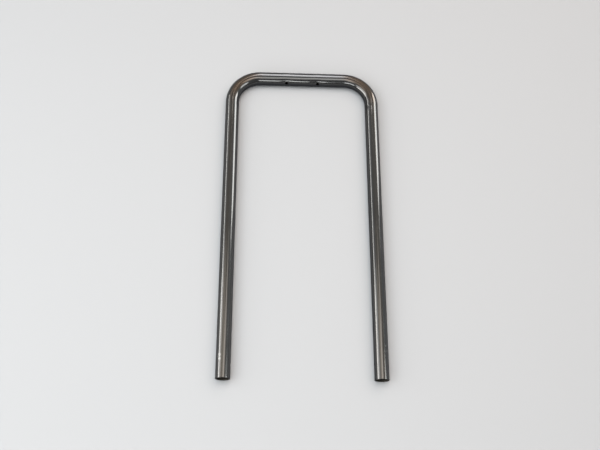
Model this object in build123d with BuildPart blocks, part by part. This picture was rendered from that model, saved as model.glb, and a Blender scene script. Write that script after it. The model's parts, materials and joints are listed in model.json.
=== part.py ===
from build123d import *
import os

# A U-shaped hoop: one length of round steel tube, bent twice through a right angle.
# It lies flat. X runs across the two legs, Y from the open ends to the crossbar,
# and Z up. The origin is on the resting plane, under the middle of the hoop.

# Driving dimensions, in millimetres and degrees
tube_diameter = 19.0
wall_thickness = 1.5
leg_spacing = 200.0  # from one leg's centreline to the other's
overall_length = 450.0  # from the open ends to the outside of the crossbar
bend_radius = 40.0  # to the centreline of the tube
end_chamfer = 0.4  # outside edge of each sawn end
end_deburr = 0.25  # inside edge of each sawn end

leg_hole_diameter = 6.5  # through the inner wall of each leg
leg_hole_from_end = 18.5

seat_spacing = 45.0  # between the two pierced seats of the crossbar
seat_angle = 20.0  # how far the seats look up from the plane of the hoop
seat_hole_diameter = 4.5
seat_depth = 0.6  # how far the flat of a seat lies under the tube's surface
seat_floor_diameter = 8.4
seat_mouth_diameter = 11.4

# Places worked out from them
tube_radius = tube_diameter / 2
bore_radius = tube_radius - wall_thickness
leg_x = leg_spacing / 2
end_y = -overall_length / 2
crossbar_y = overall_length / 2 - tube_radius
centreline_z = tube_radius

# Centreline of the tube, from the left open end round to the right one
with BuildLine(Plane.XY.offset(centreline_z)) as centreline:
    FilletPolyline(
        (-leg_x, end_y),
        (-leg_x, crossbar_y),
        (leg_x, crossbar_y),
        (leg_x, end_y),
        radius=bend_radius,
    )
bent_path = centreline.wires()[0]
left_end = Plane(origin=(-leg_x, end_y, centreline_z), x_dir=(1, 0, 0), z_dir=(0, 1, 0))

# The two pierced seats look at the open side of the hoop and a little upwards
seat_outward = Vector(0, -1, 0).rotate(Axis.X, -seat_angle)
seat_planes = []
for side in (-1, 1):
    seat_centre = (side * seat_spacing / 2, crossbar_y, centreline_z)
    seat_planes.append(Plane(origin=seat_centre, x_dir=(1, 0, 0), z_dir=seat_outward))

# The leg holes look at each other, so each is drilled outwards from the gap
leg_hole_planes = []
for side in (-1, 1):
    leg_centre = (side * leg_x, end_y + leg_hole_from_end, centreline_z)
    leg_hole_planes.append(Plane(origin=leg_centre, x_dir=(0, 1, 0), z_dir=(-side, 0, 0)))


def seat_punch(surface_radius):
    """The punch that presses a seat into a round wall whose surface has this radius.

    It stands on the tube's centreline: a flat nose, the flank out to the seat's
    mouth, and a shank that clears the tube.
    """
    nose_z = surface_radius - seat_depth
    shank_z = surface_radius + tube_radius
    with BuildPart() as punch:
        with BuildSketch(Plane.XZ):
            with BuildLine():
                Polyline(
                    (0, nose_z),
                    (seat_floor_diameter / 2, nose_z),
                    (seat_mouth_diameter / 2, surface_radius),
                    (seat_mouth_diameter / 2, shank_z),
                    (0, shank_z),
                    close=True,
                )
            make_face()
        revolve(axis=Axis.Z)
    return punch.part


outer_punch = seat_punch(tube_radius)
inner_punch = seat_punch(bore_radius)

# The hollow of the tube, with the bulge that each seat pushes into it
with BuildPart() as hollow:
    with BuildSketch(left_end):
        Circle(bore_radius)
    sweep(path=bent_path)
    with Locations(*seat_planes):
        add(inner_punch, mode=Mode.SUBTRACT)

# The tube: its outside, less the seats, the hollow and the holes
with BuildPart() as tube_hoop:
    with BuildSketch(left_end):
        Circle(tube_radius)
    sweep(path=bent_path)
    with Locations(*seat_planes):
        add(outer_punch, mode=Mode.SUBTRACT)
    add(hollow.part, mode=Mode.SUBTRACT)

    sawn_edges = edges().filter_by(GeomType.CIRCLE).group_by(Axis.Y)[0]
    inside_edges, outside_edges = sawn_edges.group_by(SortBy.RADIUS)
    chamfer(outside_edges, end_chamfer)
    chamfer(inside_edges, end_deburr)

    with Locations(*leg_hole_planes):
        Cylinder(
            leg_hole_diameter / 2,
            tube_radius,
            align=(Align.CENTER, Align.CENTER, Align.MIN),
            mode=Mode.SUBTRACT,
        )
    with Locations(*seat_planes):
        Cylinder(
            seat_hole_diameter / 2,
            tube_radius,
            align=(Align.CENTER, Align.CENTER, Align.MIN),
            mode=Mode.SUBTRACT,
        )

tube_hoop.part.label = "tube_hoop"

os.makedirs("parts", exist_ok=True)
export_step(tube_hoop.part, "parts/tube_hoop.step")
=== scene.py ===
import bpy
import json
import math
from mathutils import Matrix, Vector


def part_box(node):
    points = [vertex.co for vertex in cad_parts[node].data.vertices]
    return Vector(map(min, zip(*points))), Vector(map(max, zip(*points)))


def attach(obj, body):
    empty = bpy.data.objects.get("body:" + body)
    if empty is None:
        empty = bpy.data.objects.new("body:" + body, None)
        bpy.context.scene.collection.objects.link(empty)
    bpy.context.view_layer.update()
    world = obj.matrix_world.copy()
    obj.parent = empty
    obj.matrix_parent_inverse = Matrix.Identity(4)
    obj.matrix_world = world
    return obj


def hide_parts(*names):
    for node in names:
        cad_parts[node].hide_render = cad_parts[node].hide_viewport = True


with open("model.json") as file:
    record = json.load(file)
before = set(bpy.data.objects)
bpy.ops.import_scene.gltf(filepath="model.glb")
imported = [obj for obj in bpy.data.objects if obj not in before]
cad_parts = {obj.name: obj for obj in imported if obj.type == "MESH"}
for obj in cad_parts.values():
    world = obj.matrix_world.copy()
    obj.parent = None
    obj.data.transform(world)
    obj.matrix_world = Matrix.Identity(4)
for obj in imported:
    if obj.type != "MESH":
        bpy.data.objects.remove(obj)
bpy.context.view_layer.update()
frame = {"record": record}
bpy.ops.object.select_all(action="DESELECT")


# ---------------------------------------------------------------------------
# The tube, drawn straight. The hoop starts as one length of round steel tube,
# sawn square and deburred. It is modelled lying along X, with its middle where
# the crossbar will be, so that it can be pressed and pierced before it is bent.
# ---------------------------------------------------------------------------
mounts = {mount["name"]: mount for mount in frame["record"]["mounts"]}
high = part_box("tube_hoop")[1]
tube_radius = mounts["left_leg"]["dims"]["r_mm"] / 1000
bore_radius = mounts["left_leg_bore"]["dims"]["r_mm"] / 1000
leg_x = mounts["right_leg"]["pos_m"][0]
end_y = mounts["left_end_face"]["pos_m"][1]
crossbar_y = high.y - tube_radius
centre_z = tube_radius
outside_bevel = 0.0004
inside_bevel = 0.00025
bevel_steps = 3
facets_round = 96
weld_distance = 0.00001

bend_radius = 0.040
bend_run = bend_radius * math.pi / 2
crossbar_half = leg_x - bend_radius
half_run = crossbar_half + bend_run + (crossbar_y - bend_radius - end_y)

seat_x = mounts["right_seat_hole"]["pos_m"][0]
leg_hole_run = mounts["right_leg_hole"]["pos_m"][1] - end_y


def stations_between(start, stop, step):
    """Even places from start towards stop, with stop left out."""
    count = max(1, round(abs(stop - start) / step))
    return [start + (stop - start) * k / count for k in range(count)]


def stations(coarsening, inset):
    """Places of the rings along the whole tube, close together where it is worked."""
    seat_start, seat_stop = seat_x - 0.0065, seat_x + 0.0065
    bend_start, bend_stop = crossbar_half - 0.006, crossbar_half + bend_run + 0.006
    scuffs_start = half_run - 0.056
    hole_start, hole_stop = half_run - leg_hole_run - 0.005, half_run - leg_hole_run + 0.005
    half = (
        stations_between(0, seat_start, 0.003 * coarsening)
        + stations_between(seat_start, seat_stop, 0.0004 * coarsening)
        + stations_between(seat_stop, bend_start, 0.003 * coarsening)
        + stations_between(bend_start, bend_stop, 0.0015 * coarsening)
        + stations_between(bend_stop, scuffs_start, 0.006 * coarsening)
        + stations_between(scuffs_start, hole_start, 0.0009 * coarsening)
        + stations_between(hole_start, hole_stop, 0.0005 * coarsening)
        + stations_between(hole_stop, half_run - inset, 0.001 * coarsening)
        + [half_run - inset]
    )
    return [-x for x in reversed(half[1:])] + half


def rounded_corner(x, radius, inwards, bevel):
    """Points of a small round between the tube's side and its sawn end, side first."""
    points = []
    for k in range(1, bevel_steps):
        turn = math.pi / 2 * k / bevel_steps
        back_from_end = bevel * (math.sin(turn) - 1)
        off_the_side = inwards * bevel * (1 - math.cos(turn))
        points.append((x + back_from_end, radius + off_the_side))
    return points


# Half section of the wall, as (place along the tube, distance from its centreline)
right_outside = rounded_corner(half_run, tube_radius, -1, outside_bevel)
right_inside = rounded_corner(half_run, bore_radius, 1, inside_bevel)
outside_line = [(x, tube_radius) for x in stations(1, outside_bevel)]
inside_line = [(x, bore_radius) for x in stations(1.8, inside_bevel)]
section = (
    outside_line
    + right_outside
    + [(half_run, tube_radius - outside_bevel), (half_run, bore_radius + inside_bevel)]
    + right_inside[::-1]
    + inside_line[::-1]
    + [(-x, r) for x, r in right_inside]
    + [(-half_run, bore_radius + inside_bevel), (-half_run, tube_radius - outside_bevel)]
    + [(-x, r) for x, r in right_outside[::-1]]
)

# One vertex is drawn round that section, and the section is then spun into a tube
bpy.ops.mesh.primitive_plane_add(size=0.001, location=(0, crossbar_y, centre_z))
tube = bpy.context.object
tube.name = "tube_hoop_finish"
bpy.ops.object.transform_apply(location=True, rotation=True, scale=True)
bpy.ops.object.mode_set(mode="EDIT")
bpy.ops.mesh.merge(type="CENTER")
bpy.ops.transform.translate(value=(section[0][0], 0, section[0][1]))
for (x, radius), (next_x, next_radius) in zip(section, section[1:] + section[:1]):
    bpy.ops.mesh.extrude_vertices_move(
        TRANSFORM_OT_translate={"value": (next_x - x, 0, next_radius - radius)}
    )
bpy.ops.mesh.select_all(action="SELECT")
bpy.ops.mesh.remove_doubles(threshold=weld_distance)
bpy.ops.mesh.spin(
    steps=facets_round,
    angle=math.radians(360),
    center=(0, crossbar_y, centre_z),
    axis=(1, 0, 0),
)
bpy.ops.mesh.select_all(action="SELECT")
bpy.ops.mesh.remove_doubles(threshold=weld_distance)
bpy.ops.mesh.normals_make_consistent(inside=False)
bpy.ops.object.mode_set(mode="OBJECT")


# ---------------------------------------------------------------------------
# Pressed seats, dents and former marks. A punch has pressed a shallow flat round
# each screw hole and drawn the steel about it down into a soft dish. Use has left
# small dents near the open ends, and the bender's former has nipped the wall.
# ---------------------------------------------------------------------------
seat_outward = Vector(mounts["right_seat_hole"]["axis"]).normalized()
seat_depth = 0.0006
seat_floor_radius = 0.0042
seat_mouth_radius = 0.0057
seat_softness = 0.00022
dish_radius = 0.0078
dish_depth = 0.00045

along_tube = Vector((1, 0, 0))
seat_across = seat_outward.cross(along_tube)
flank_slope = seat_depth / (seat_mouth_radius - seat_floor_radius)


def press_seat(point, surface_radius, side):
    """Moves a point of the wall down under the punch, which rounds the seat's rim."""
    from_centre = point - Vector((side * seat_x, crossbar_y, centre_z))
    height = from_centre.dot(seat_outward)
    from_axis = math.hypot(from_centre.x, from_centre.dot(seat_across))
    if height < 0 or from_axis > 2 * seat_mouth_radius:
        return
    punch = surface_radius - seat_depth + max(0, from_axis - seat_floor_radius) * flank_slope
    gap = height - punch
    point -= seat_outward * (gap + math.sqrt(gap * gap + seat_softness**2)) / 2


# Dents: (place along the tube, angle round it from the gap upwards, radius, depth)
deg = math.radians
dents = [
    (-half_run + 0.0240, deg(119), 0.0015, 0.00020),
    (-half_run + 0.0289, deg(118), 0.0014, 0.00022),
    (-half_run + 0.0265, deg(131), 0.0010, 0.00010),
    (half_run - 0.0352, deg(123), 0.0013, 0.00018),
    (half_run - 0.0368, deg(142), 0.0015, 0.00022),
    (half_run - 0.0350, deg(152), 0.0011, 0.00016),
    (half_run - 0.0427, deg(122), 0.0011, 0.00014),
    (half_run - 0.0440, deg(140), 0.0009, 0.00010),
]

# Former marks: (place along the tube, angle round it, half width, half length round it, depth)
former_marks = [
    (crossbar_half + bend_run + 0.0048, deg(52), 0.0017, 0.0045, 0.00062),
    (crossbar_half + bend_run + 0.0075, deg(72), 0.0010, 0.0020, 0.00016),
    (-crossbar_half - bend_run - 0.0040, deg(40), 0.0016, 0.0045, 0.00014),
]

for vertex in tube.data.vertices:
    spoke = vertex.co - Vector((vertex.co.x, crossbar_y, centre_z))
    surface_radius = tube_radius if spoke.length > (tube_radius + bore_radius) / 2 else bore_radius
    turn = math.atan2(spoke.z, -spoke.y)
    sink = 0
    for dent_x, dent_turn, radius, depth in dents:
        from_dent = math.hypot(vertex.co.x - dent_x, (turn - dent_turn) * tube_radius) / radius
        sink += depth * math.exp(-(from_dent**2))
    for mark_x, mark_turn, half_width, half_length, depth in former_marks:
        from_mark = math.hypot(
            (vertex.co.x - mark_x) / half_width, (turn - mark_turn) * tube_radius / half_length
        )
        sink += depth * math.exp(-(from_mark**2))
    for side in (-1, 1):
        from_seat = vertex.co - Vector((side * seat_x, crossbar_y, centre_z))
        if from_seat.dot(seat_outward) > 0:
            from_axis = math.hypot(from_seat.x, from_seat.dot(seat_across)) / dish_radius
            sink += dish_depth * math.exp(-(from_axis**2))
    vertex.co -= spoke.normalized() * sink
    for side in (-1, 1):
        press_seat(vertex.co, surface_radius, side)


# ---------------------------------------------------------------------------
# Pierced holes. A clearance hole goes through the flat of each seat, and one
# through the inner wall of each leg near its end. Each is cut by a round
# punch that stops inside the tube, so the far wall stays whole.
# ---------------------------------------------------------------------------
seat_hole_radius = mounts["right_seat_hole"]["dims"]["r_mm"] / 1000
leg_hole_radius = mounts["right_leg_hole"]["dims"]["r_mm"] / 1000
towards_gap = Vector((0, -1, 0))

punches = []
for side in (-1, 1):
    for x, outward, radius in (
        (side * seat_x, seat_outward, seat_hole_radius),
        (side * (half_run - leg_hole_run), towards_gap, leg_hole_radius),
    ):
        bpy.ops.mesh.primitive_cylinder_add(
            vertices=64,
            radius=radius,
            depth=tube_radius,
            location=Vector((x, crossbar_y, centre_z)) + outward * tube_radius,
            rotation=outward.to_track_quat("Z", "Y").to_euler(),
        )
        punches.append(bpy.context.object)
bpy.ops.object.select_all(action="DESELECT")
for punch in punches:
    punch.select_set(True)
bpy.context.view_layer.objects.active = punches[0]
bpy.ops.object.join()
punch = bpy.context.object

bpy.ops.object.select_all(action="DESELECT")
tube.select_set(True)
bpy.context.view_layer.objects.active = tube
pierce = tube.modifiers.new("pierce", "BOOLEAN")
pierce.operation = "DIFFERENCE"
pierce.solver = "EXACT"
pierce.object = punch
bpy.ops.object.modifier_apply(modifier=pierce.name)
bpy.data.objects.remove(punch)

# Each point keeps its place on the straight tube, so the finish can follow the draw
# lines, and how scuffed it is, so the plating can be worn on the dents
tube.data.attributes.new("as_drawn", "FLOAT_VECTOR", "POINT")
tube.data.attributes.new("scuffed", "FLOAT", "POINT")
as_drawn = tube.data.attributes["as_drawn"]
scuffed = tube.data.attributes["scuffed"]
for vertex, drawn, scuff in zip(tube.data.vertices, as_drawn.data, scuffed.data):
    drawn.vector = vertex.co - Vector((0, crossbar_y, centre_z))
    turn = math.atan2(drawn.vector.z, -drawn.vector.y)
    scuff.value = 0
    if math.hypot(drawn.vector.y, drawn.vector.z) > (tube_radius + bore_radius) / 2:
        for dent_x, dent_turn, radius, depth in dents:
            from_dent = math.hypot(vertex.co.x - dent_x, (turn - dent_turn) * tube_radius) / radius
            scuff.value = max(scuff.value, math.exp(-(from_dent**2)))


# ---------------------------------------------------------------------------
# The two bends. The straight tube is bent cold, a quarter turn at each end of
# the crossbar, round a former of one radius. What lies past a bend is carried
# round with it and becomes a leg.
# ---------------------------------------------------------------------------
for side in (-1, 1):
    bpy.ops.object.empty_add(location=(side * crossbar_half, crossbar_y, centre_z))
    former = bpy.context.object
    lowest = min(vertex.co.x for vertex in tube.data.vertices)
    highest = max(vertex.co.x for vertex in tube.data.vertices)
    limits = sorted((side * crossbar_half, side * (crossbar_half + bend_run)))
    bpy.ops.object.select_all(action="DESELECT")
    tube.select_set(True)
    bpy.context.view_layer.objects.active = tube
    bend = tube.modifiers.new("bend", "SIMPLE_DEFORM")
    bend.deform_method = "BEND"
    bend.deform_axis = "Z"
    bend.origin = former
    bend.angle = math.radians(-90)
    bend.limits = [(limit - lowest) / (highest - lowest) for limit in limits]
    bpy.ops.object.modifier_apply(modifier=bend.name)
    bpy.data.objects.remove(former)
bpy.ops.object.shade_smooth_by_angle(angle=math.radians(28))


# ---------------------------------------------------------------------------
# Dark chrome. The outside is plated near-black and buffed along the tube: neutral
# on the crossbar, browner on the crown of the legs, painted shade low on the flanks
# and straw on top of the bends, with hairline scratches and worn dents and saw cuts.
# ---------------------------------------------------------------------------
dark_chrome = bpy.data.materials.new("dark_chrome")
dark_chrome.use_nodes = True


def drawn_place(tree):
    """The place of each point on the straight tube, as a vector."""
    node = tree.nodes.new("ShaderNodeAttribute")
    node.attribute_name = "as_drawn"
    return node.outputs["Vector"]


def noise(tree, scale, detail, roughness):
    """A noise pattern on the drawn place, with its own scale along, across and up the tube."""
    mapping = tree.nodes.new("ShaderNodeMapping")
    mapping.inputs["Scale"].default_value = scale
    tree.links.new(drawn_place(tree), mapping.inputs["Vector"])
    pattern = tree.nodes.new("ShaderNodeTexNoise")
    pattern.inputs["Scale"].default_value = 1.0
    pattern.inputs["Detail"].default_value = detail
    pattern.inputs["Roughness"].default_value = roughness
    tree.links.new(mapping.outputs["Vector"], pattern.inputs["Vector"])
    return pattern.outputs["Fac"]


def eased(tree, value, low_in, high_in, low_out, high_out):
    """A value eased from one range into another."""
    node = tree.nodes.new("ShaderNodeMapRange")
    node.interpolation_type = "SMOOTHSTEP"
    node.inputs["From Min"].default_value = low_in
    node.inputs["From Max"].default_value = high_in
    node.inputs["To Min"].default_value = low_out
    node.inputs["To Max"].default_value = high_out
    tree.links.new(value, node.inputs["Value"])
    return node.outputs["Result"]


def combined(tree, operation, first, second):
    """Two values, or a value and a number, put together."""
    node = tree.nodes.new("ShaderNodeMath")
    node.operation = operation
    for socket, value in zip(node.inputs, (first, second)):
        if isinstance(value, (int, float)):
            socket.default_value = value
        else:
            tree.links.new(value, socket)
    return node.outputs["Value"]


def tinted(tree, amount, colour_low, colour_high):
    """A colour between two, by amount. Either may be a colour already made."""
    node = tree.nodes.new("ShaderNodeMix")
    node.data_type = "RGBA"
    tree.links.new(amount, node.inputs["Factor"])
    for name, colour in (("A", colour_low), ("B", colour_high)):
        socket = [i for i in node.inputs if i.name == name and i.type == "RGBA"][0]
        if isinstance(colour, tuple):
            socket.default_value = (*colour, 1)
        else:
            tree.links.new(colour, socket)
    return [o for o in node.outputs if o.type == "RGBA"][0]


def bumped(tree, height, strength, distance, under=None):
    """A bump made from a height pattern, laid over another bump if there is one."""
    node = tree.nodes.new("ShaderNodeBump")
    node.inputs["Strength"].default_value = strength
    node.inputs["Distance"].default_value = distance
    tree.links.new(height, node.inputs["Height"])
    if under is not None:
        tree.links.new(under, node.inputs["Normal"])
    return node.outputs["Normal"]


def along_and_height(tree):
    """Distance along the drawn tube from its middle, and height above its centreline."""
    node = tree.nodes.new("ShaderNodeSeparateXYZ")
    tree.links.new(drawn_place(tree), node.inputs["Vector"])
    return combined(tree, "ABSOLUTE", node.outputs["X"], 0), node.outputs["Z"]


tree = dark_chrome.node_tree
plating = tree.nodes["Principled BSDF"]
plating.inputs["Metallic"].default_value = 1.0
plating.inputs["Specular Tint"].default_value = (0.55, 0.55, 0.56, 1)

draw_lines = noise(tree, (6, 1500, 1500), 3, 0.6)
buffing = noise(tree, (3, 300, 300), 2, 0.5)
clouds = noise(tree, (26, 70, 70), 4, 0.55)
scratches = noise(tree, (120, 2600, 2600), 1, 0.4)
specks = noise(tree, (1300, 1300, 1300), 2, 0.5)
scuff = tree.nodes.new("ShaderNodeAttribute")
scuff.attribute_name = "scuffed"
along, height = along_and_height(tree)

into_bend = eased(tree, along, crossbar_half - 0.010, crossbar_half + 0.024, 0, 1)
bend_end = crossbar_half + bend_run
out_of_bend = eased(tree, along, bend_end - 0.024, bend_end + 0.010, 1, 0)
on_top = eased(tree, height, 0.0076, 0.0090, 0, 1)
in_bend = combined(tree, "MULTIPLY", into_bend, out_of_bend)
bend_crown = combined(tree, "MULTIPLY", in_bend, on_top)
patchy = eased(tree, clouds, 0.3, 0.7, 0.25, 0.75)
straw_amount = combined(tree, "MULTIPLY", bend_crown, patchy)
worn = combined(tree, "MULTIPLY", scuff.outputs["Fac"], eased(tree, specks, 0.35, 0.60, 0.35, 1))
sawn = eased(tree, along, half_run - 0.00042, half_run - 0.00012, 0, 1)

nickel = tinted(tree, clouds, (0.090, 0.090, 0.089), (0.116, 0.116, 0.114))
browned = tinted(tree, clouds, (0.101, 0.090, 0.079), (0.128, 0.116, 0.101))
on_leg = eased(tree, along, crossbar_half, crossbar_half + bend_run, 0, 1)
on_crown = eased(tree, height, 0.0086, 0.0093, 0, 1)
toned = tinted(tree, combined(tree, "MULTIPLY", on_leg, on_crown), nickel, browned)
buffed = tinted(tree, eased(tree, buffing, 0.35, 0.65, 0, 0.4), toned, (0.126, 0.122, 0.117))
# Painted shade: below about 1.5 mm over the centreline the tube is darkened to a near-black blue-grey,
# fading out by 6.2 mm, in place of the shadowed paper the underside reflects.
flank_painted_shade = tinted(tree, eased(tree, height, 0.0015, 0.0062, 1, 0), buffed, (0.040, 0.042, 0.045))
strawed = tinted(tree, straw_amount, flank_painted_shade, (0.160, 0.108, 0.070))
hairline = eased(tree, scratches, 0.70, 0.78, 0, 0.5)
scratched = tinted(tree, hairline, strawed, (0.200, 0.192, 0.182))
scuff_coloured = tinted(tree, worn, scratched, (0.185, 0.182, 0.176))
sawn_coloured = tinted(tree, sawn, scuff_coloured, (0.058, 0.054, 0.048))
tree.links.new(sawn_coloured, plating.inputs["Base Color"])

line_roughness = eased(tree, draw_lines, 0.30, 0.70, 0.10, 0.15)
cloud_roughness = eased(tree, clouds, 0.45, 0.75, 0.00, 0.06)
wear_roughness = combined(tree, "MULTIPLY", combined(tree, "MAXIMUM", worn, sawn), 0.24)
polish = combined(tree, "ADD", combined(tree, "ADD", line_roughness, cloud_roughness), wear_roughness)
tree.links.new(polish, plating.inputs["Roughness"])

drawn_bump = bumped(tree, draw_lines, 0.05, 0.00002)
scratch_bump = bumped(tree, scratches, 0.05, 0.00002, drawn_bump)
tree.links.new(bumped(tree, specks, 0.05, 0.00002, scratch_bump), plating.inputs["Normal"])


# ---------------------------------------------------------------------------
# Raw bore. Plating reaches only a little way into the open ends. Past it the
# inside is bare drawn steel, gone brown-grey, with draw lines and light rust.
# ---------------------------------------------------------------------------
raw_bore = bpy.data.materials.new("raw_bore")
raw_bore.use_nodes = True
tree = raw_bore.node_tree
steel = tree.nodes["Principled BSDF"]
steel.inputs["Metallic"].default_value = 1.0
bore_lines = noise(tree, (8, 900, 900), 3, 0.6)
rust = noise(tree, (180, 260, 260), 5, 0.65)
along = along_and_height(tree)[0]
plated = eased(tree, along, half_run - 0.024, half_run - 0.004, 0, 1)
bare = tinted(tree, bore_lines, (0.075, 0.064, 0.052), (0.120, 0.105, 0.088))
rusted = tinted(tree, eased(tree, rust, 0.50, 0.68, 0, 0.8), bare, (0.090, 0.048, 0.022))
tree.links.new(tinted(tree, plated, rusted, (0.085, 0.078, 0.068)), steel.inputs["Base Color"])
rust_roughness = eased(tree, rust, 0.35, 0.70, 0.42, 0.70)
plating_polish = combined(tree, "MULTIPLY", plated, -0.14)
bore_roughness = combined(tree, "ADD", rust_roughness, plating_polish)
tree.links.new(bore_roughness, steel.inputs["Roughness"])
bore_bump = bumped(tree, bore_lines, 0.30, 0.00004)
tree.links.new(bumped(tree, rust, 0.35, 0.00006, bore_bump), steel.inputs["Normal"])

tube.data.materials.append(dark_chrome)
tube.data.materials.append(raw_bore)
as_drawn = tube.data.attributes["as_drawn"]
bore_tolerance = 0.00002
for face in tube.data.polygons:
    spokes = [as_drawn.data[corner].vector for corner in face.vertices]
    reach = [math.hypot(spoke.y, spoke.z) for spoke in spokes]
    face.material_index = 1 if max(reach) < bore_radius + bore_tolerance else 0

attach(tube, "root")
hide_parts("tube_hoop")


# ---------------------------------------------------------------------------
# The studio. The hoop lies on a wide sheet of pale grey paper between soft boxes,
# under two broad ceiling fills that its plating does not reflect. Some boxes are
# kept off the paper. The grey room round it is brighter behind and to the right.
# ---------------------------------------------------------------------------
bpy.ops.mesh.primitive_plane_add(size=6, location=(0, 0, 0))
paper = bpy.context.object
paper.name = "paper"
paper_material = bpy.data.materials.new("pale_paper")
paper_material.use_nodes = True
paper_shader = paper_material.node_tree.nodes["Principled BSDF"]
paper_shader.inputs["Base Color"].default_value = (0.297, 0.297, 0.297, 1)
paper_shader.inputs["Roughness"].default_value = 0.9
paper_shader.inputs["Specular IOR Level"].default_value = 0.1
paper.data.materials.append(paper_material)

room_level = 0.44
room_lean = (0.09, 0.22, 0)
scene = bpy.context.scene
world = bpy.data.worlds.new("room")
world.use_nodes = True
room = world.node_tree
room_light = room.nodes["Background"]
room_light.inputs["Color"].default_value = (0.97, 1.0, 1.02, 1)
direction = room.nodes.new("ShaderNodeTexCoord")
lean = room.nodes.new("ShaderNodeVectorMath")
lean.operation = "DOT_PRODUCT"
lean.inputs[1].default_value = room_lean
room.links.new(direction.outputs["Generated"], lean.inputs[0])
brightness = room.nodes.new("ShaderNodeMath")
brightness.operation = "ADD"
brightness.inputs[1].default_value = room_level
room.links.new(lean.outputs["Value"], brightness.inputs[0])
room.links.new(brightness.outputs["Value"], room_light.inputs["Strength"])
scene.world = world
scene.view_settings.view_transform = "Standard"


def soft_light(
    name, distance, azimuth, from_zenith, width, height, radiance, colour, in_gloss=True, on_paper=True
):
    """A soft box that faces the middle of the hoop, with its height up the sky."""
    turn, lean = math.radians(azimuth), math.radians(from_zenith)
    direction = Vector((math.sin(lean) * math.cos(turn), math.sin(lean) * math.sin(turn), math.cos(lean)))
    lamp = bpy.data.lights.new(name, "AREA")
    lamp.shape = "RECTANGLE"
    lamp.size = width
    lamp.size_y = height
    lamp.energy = radiance * math.pi * width * height
    lamp.color = colour
    light = bpy.data.objects.new(name, lamp)
    light.location = direction * distance
    light.rotation_euler = direction.to_track_quat("Z", "Y").to_euler()
    light.visible_camera = False
    light.visible_glossy = in_gloss
    light.visible_diffuse = on_paper
    scene.collection.objects.link(light)


soft_light("left_softbox", 1.50, 188, 57, 1.30, 1.25, 2.54, (1.0, 0.99, 0.97))
soft_light("left_softbox_edge", 1.85, 177, 64, 2.86, 0.244, 6.78, (1.0, 0.99, 0.97), on_paper=False)
soft_light("left_back_strip", 1.60, 139, 53, 1.00, 0.18, 0.82, (1.0, 1.0, 1.0))
soft_light("right_back_window", 1.30, 39, 67, 0.535, 0.54, 6.40, (1.0, 1.0, 0.99), on_paper=False)
soft_light("right_front_window", 1.49, -12.5, 53.5, 0.783, 0.578, 3.95, (0.98, 1.0, 0.99), on_paper=False)
soft_light("back_strip", 1.65, 87.6, 51.7, 0.356, 0.848, 4.70, (0.99, 0.98, 1.02), on_paper=False)
soft_light("front_strip", 1.51, -108.2, 58.5, 1.115, 0.462, 4.30, (0.97, 1.0, 1.01))
soft_light("overhead_dim", 1.69, 68, 1.4, 2.04, 0.61, 0.89, (1.0, 0.98, 0.95))
soft_light("overhead", 1.31, -41.5, 3.1, 1.18, 0.404, 1.54, (1.0, 0.98, 0.95))
soft_light("ceiling_left", 2.00, 200, 25, 2.40, 2.40, 2.65, (0.90, 1.0, 1.08), in_gloss=False)
soft_light("ceiling_right", 2.00, 35, 25, 2.40, 2.40, 2.45, (1.13, 1.0, 0.92), in_gloss=False)

camera_data = bpy.data.cameras.new("camera")
camera_data.lens = 49.40
camera_data.sensor_width = 36
camera = bpy.data.objects.new("camera", camera_data)
camera.location = (-0.05679, -0.44918, 1.03214)
camera.rotation_euler = [math.radians(angle) for angle in (22.9957, -2.9757, -0.0632)]
scene.collection.objects.link(camera)
scene.camera = camera
